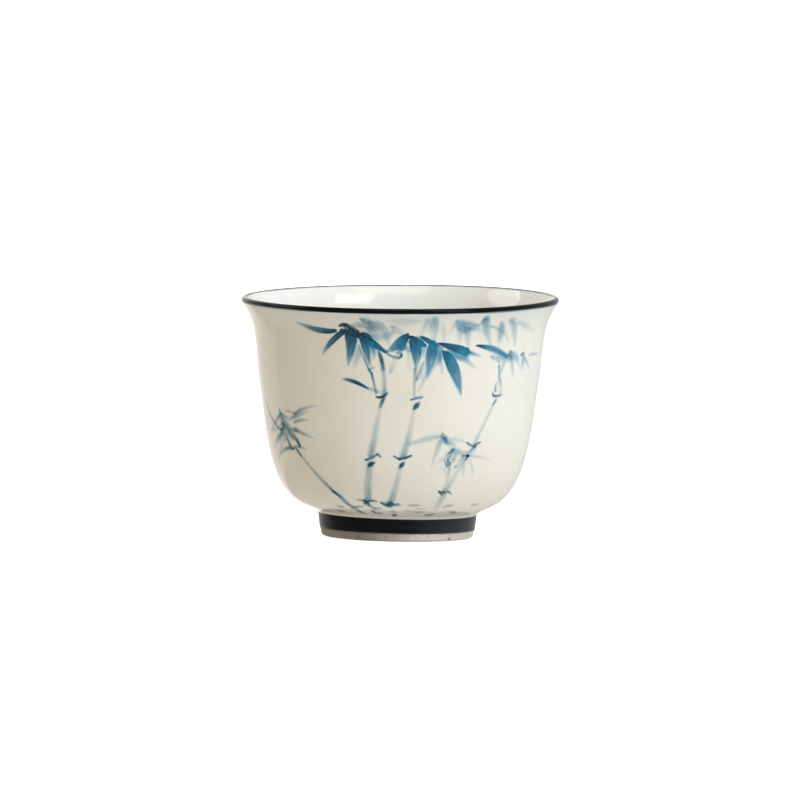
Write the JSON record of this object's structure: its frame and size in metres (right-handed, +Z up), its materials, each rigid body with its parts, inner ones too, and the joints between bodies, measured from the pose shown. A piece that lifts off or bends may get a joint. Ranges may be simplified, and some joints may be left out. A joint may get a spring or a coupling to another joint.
{
  "type": "teacup",
  "caption": "Handleless bell-shaped porcelain teacup on a ring foot, with a dark lip line, a dark foot band and a brushed bamboo design.",
  "frame": {"origin": "centre of the foot ring's resting face, on the surface that the cup stands on", "axes": "+Z up along the cup's turning axis; the painted front faces -Y; +X is to the right seen from the front"},
  "size_m": [0.074, 0.074, 0.0559],
  "materials": {
    "fired_clay": "bare fired clay, matt, slightly pinkish grey",
    "clear_glaze": "glossy warm white glaze",
    "dark_rim_glaze": "glossy blue-black line, uneven along its edges",
    "dark_foot_slip": "near-black navy slip, satin",
    "dark_cobalt": "dark cobalt brushwork under a glossy glaze",
    "middle_cobalt": "mid-toned cobalt wash under a glossy glaze",
    "pale_cobalt": "pale grey-blue wash under a glossy glaze"
  },
  "bodies": {
    "root": {"bowl_body": "fired_clay", "foot_ring": "fired_clay", "outer_glaze": "clear_glaze", "inner_glaze": "clear_glaze", "base_glaze": "clear_glaze", "rim_line": "dark_rim_glaze", "foot_band": "dark_foot_slip", "bamboo_stalks": "pale_cobalt", "joint_marks": "dark_cobalt", "twigs": "middle_cobalt", "dark_leaves": "dark_cobalt", "middle_leaves": "middle_cobalt", "pale_leaves": "pale_cobalt", "left_spray": "middle_cobalt", "right_spray": "pale_cobalt", "ground_strokes": "pale_cobalt"}
  },
  "joints": []
}
